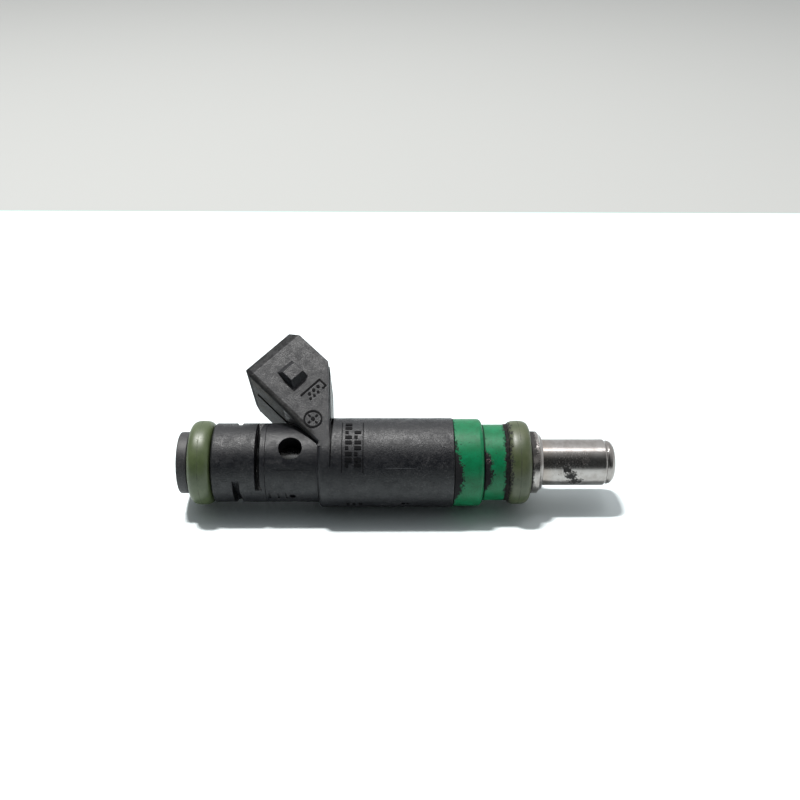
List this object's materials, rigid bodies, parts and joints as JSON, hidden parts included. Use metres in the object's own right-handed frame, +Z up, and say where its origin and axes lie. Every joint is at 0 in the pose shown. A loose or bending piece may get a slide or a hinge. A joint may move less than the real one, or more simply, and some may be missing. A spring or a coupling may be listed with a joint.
{
  "type": "fuel injector",
  "caption": "Top-feed port fuel injector: black moulded barrel with an angled plug socket, green lower sleeve, rubber seals and a steel nozzle tube, with the sprung needle valve inside.",
  "frame": {"origin": "middle of the bounding box's bottom face, on the surface that the barrel lies on", "axes": "+X along the injector from the inlet end to the nozzle tip, +Z up, the connector leaning back towards +Y"},
  "size_m": [0.0754, 0.03, 0.026],
  "materials": {
    "black_plastic": "moulded glass-filled nylon, finely textured, slightly worn",
    "green_plastic": "satin moulded plastic with dark residue at its edges",
    "cap_plastic": "matt moulded plastic",
    "upper_seal_rubber": "smooth olive fluorocarbon rubber",
    "lower_seal_rubber": "smooth olive fluorocarbon rubber, browned by heat",
    "stainless": "turned stainless steel with brown heat and fuel stains",
    "ground_stainless": "ground stainless steel",
    "magnetic_steel": "dull soft magnetic steel",
    "spring_steel": "drawn wire",
    "copper_winding": "enamelled copper wire in tight turns",
    "tinned_terminal": "tin-plated brass",
    "natural_nylon": "unfilled natural nylon",
    "filter_gauze": "fine woven nylon gauze"
  },
  "bodies": {
    "injector": {"connector_overmould": "black_plastic", "lower_sleeve": "green_plastic", "inlet_retainer_cap": "cap_plastic", "upper_o_ring": "upper_seal_rubber", "lower_o_ring": "lower_seal_rubber", "o_ring_collar": "stainless", "valve_body": "stainless", "inlet_tube": "ground_stainless", "filter_frame": "natural_nylon", "filter_mesh": "filter_gauze", "adjusting_sleeve": "ground_stainless", "return_spring": "spring_steel", "flux_washer": "magnetic_steel", "coil_housing": "magnetic_steel", "coil_bobbin": "natural_nylon", "coil_winding": "copper_winding", "terminal_pin_1": "tinned_terminal", "terminal_pin_2": "tinned_terminal", "non_magnetic_shell": "ground_stainless", "upper_needle_guide": "ground_stainless", "lower_ball_guide": "ground_stainless", "valve_seat": "ground_stainless", "orifice_plate": "ground_stainless", "tip_retainer": "ground_stainless"},
    "needle": {"armature": "magnetic_steel", "needle_tube": "ground_stainless", "valve_ball": "ground_stainless"}
  },
  "joints": [
    {"name": "needle_lift", "type": "slide", "parent": "injector", "child": "needle", "axis": [-1, 0, 0], "range_m": [0, 0.00008], "stiffness_N_per_m": 2000, "springref_m": -0.0015, "deforming": ["return_spring"]}
  ]
}
